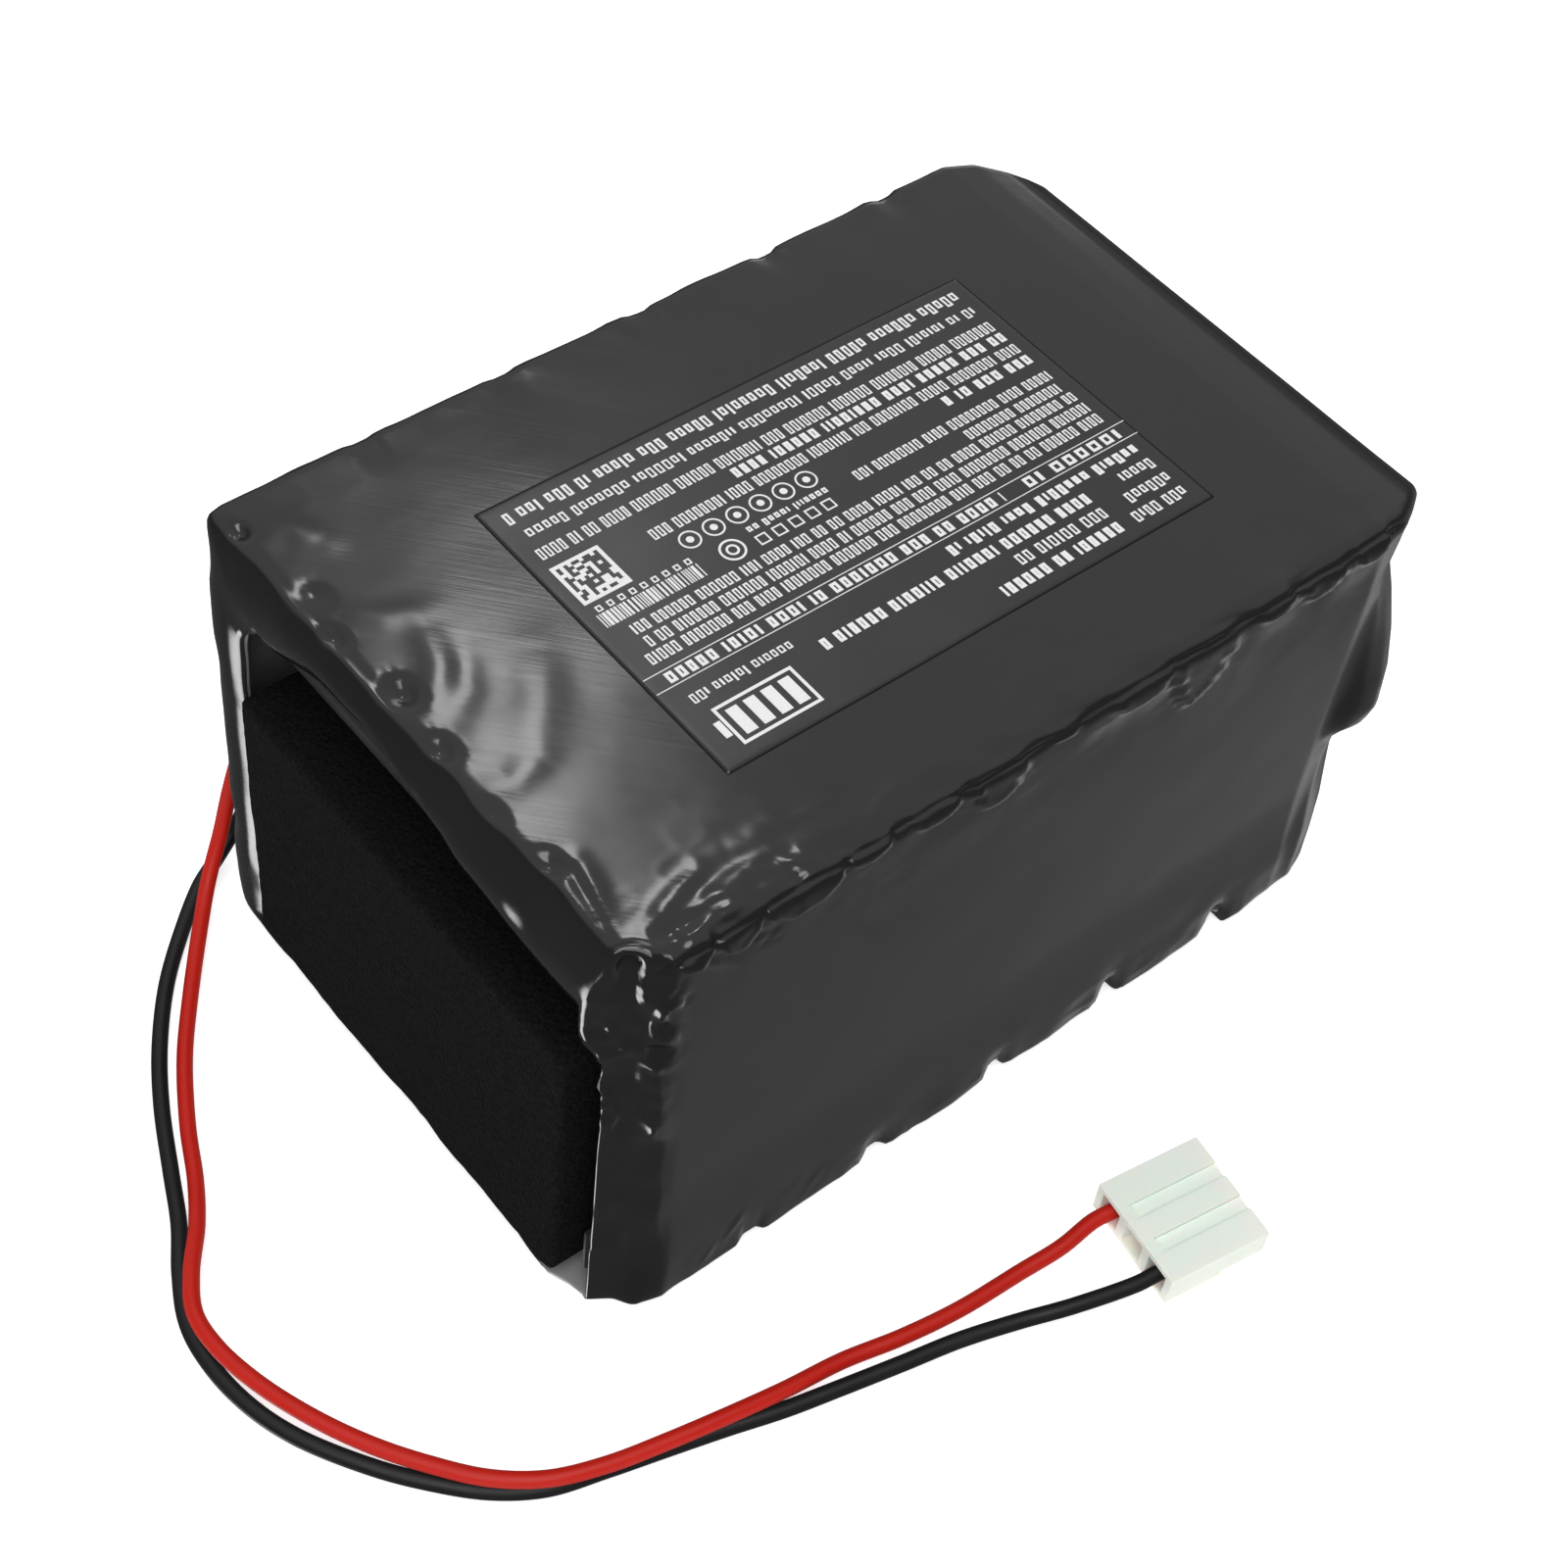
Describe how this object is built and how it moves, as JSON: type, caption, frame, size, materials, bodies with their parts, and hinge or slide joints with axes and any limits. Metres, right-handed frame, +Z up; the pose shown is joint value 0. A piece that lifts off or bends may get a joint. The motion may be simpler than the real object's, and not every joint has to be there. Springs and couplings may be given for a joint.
{
  "type": "lithium-ion battery pack",
  "caption": "Box-shaped rechargeable battery pack in a black heat-shrink sleeve, with a foam-padded open end and red and black leads to a crimp connector.",
  "frame": {"origin": "middle of the flat bottom face that the pack rests on, measured without the leads and their connector", "axes": "+X along the pack's length, away from the end with the foam block; +Y towards the long side that the leads leave from; +Z up, through the label"},
  "size_m": [0.1695, 0.1301, 0.0725],
  "materials": {
    "sleeve_film": "black heat-shrink film, satin on the flats and glossy where it puckers over the edges",
    "label_film": "satin black adhesive label with plain white bars",
    "cell_wrap": "blue shrink wrap",
    "cell_tape": "black cloth-backed tape",
    "holder_plastic": "moulded black plastic",
    "nickel": "rolled nickel strip",
    "fibre_board": "pale green glass-fibre board",
    "circuit_board": "green solder mask",
    "chip": "moulded black package",
    "plug_nylon": "natural nylon",
    "sense_insulation": "white wire insulation",
    "foam": "matte black closed-cell foam",
    "housing_nylon": "ivory nylon with a faint green cast, slightly translucent",
    "tinned_contact": "tin-plated crimp contact",
    "red_insulation": "smooth red silicone or PVC insulation",
    "black_insulation": "smooth black insulation"
  },
  "bodies": {
    "root": {"cell_01": "cell_tape", "cell_02": "cell_wrap", "cell_03": "cell_wrap", "cell_04": "cell_wrap", "cell_05": "cell_wrap", "cell_06": "cell_wrap", "cell_07": "cell_wrap", "cell_08": "cell_wrap", "cell_09": "cell_wrap", "cell_10": "cell_wrap", "cell_11": "cell_wrap", "cell_12": "cell_wrap", "cell_13": "cell_wrap", "cell_14": "cell_wrap", "cell_15": "cell_wrap", "cell_16": "cell_wrap", "cell_17": "cell_wrap", "cell_18": "cell_wrap", "cell_19": "cell_wrap", "cell_20": "cell_wrap", "cell_21": "cell_wrap", "cell_holder_bottom": "holder_plastic", "cell_holder_top": "holder_plastic", "nickel_strip_top_1": "nickel", "nickel_strip_top_2": "nickel", "nickel_strip_top_3": "nickel", "nickel_strip_top_4": "nickel", "nickel_strip_bottom_1": "nickel", "nickel_strip_bottom_2": "nickel", "nickel_strip_bottom_3": "nickel", "nickel_strip_bottom_4": "nickel", "insulation_board_bottom": "fibre_board", "insulation_board_top": "fibre_board", "insulation_board_front": "fibre_board", "insulation_board_back": "fibre_board", "insulation_board_end": "fibre_board", "protection_circuit_board": "circuit_board", "switching_transistor_1": "chip", "switching_transistor_2": "chip", "switching_transistor_3": "chip", "switching_transistor_4": "chip", "sense_plug_upper": "plug_nylon", "sense_plug_lower": "plug_nylon", "sense_wire_top_1": "sense_insulation", "sense_wire_top_2": "sense_insulation", "sense_wire_top_3": "sense_insulation", "sense_wire_top_4": "sense_insulation", "sense_wire_bottom_1": "sense_insulation", "sense_wire_bottom_2": "sense_insulation", "sense_wire_bottom_3": "sense_insulation", "sense_wire_bottom_4": "sense_insulation", "end_foam_block": "foam", "heat_shrink_sleeve": "sleeve_film", "rating_label": "label_film", "connector_housing": "housing_nylon", "crimp_contact_red": "tinned_contact", "crimp_contact_black": "tinned_contact", "lead_red": "red_insulation", "lead_black": "black_insulation"}
  },
  "joints": []
}
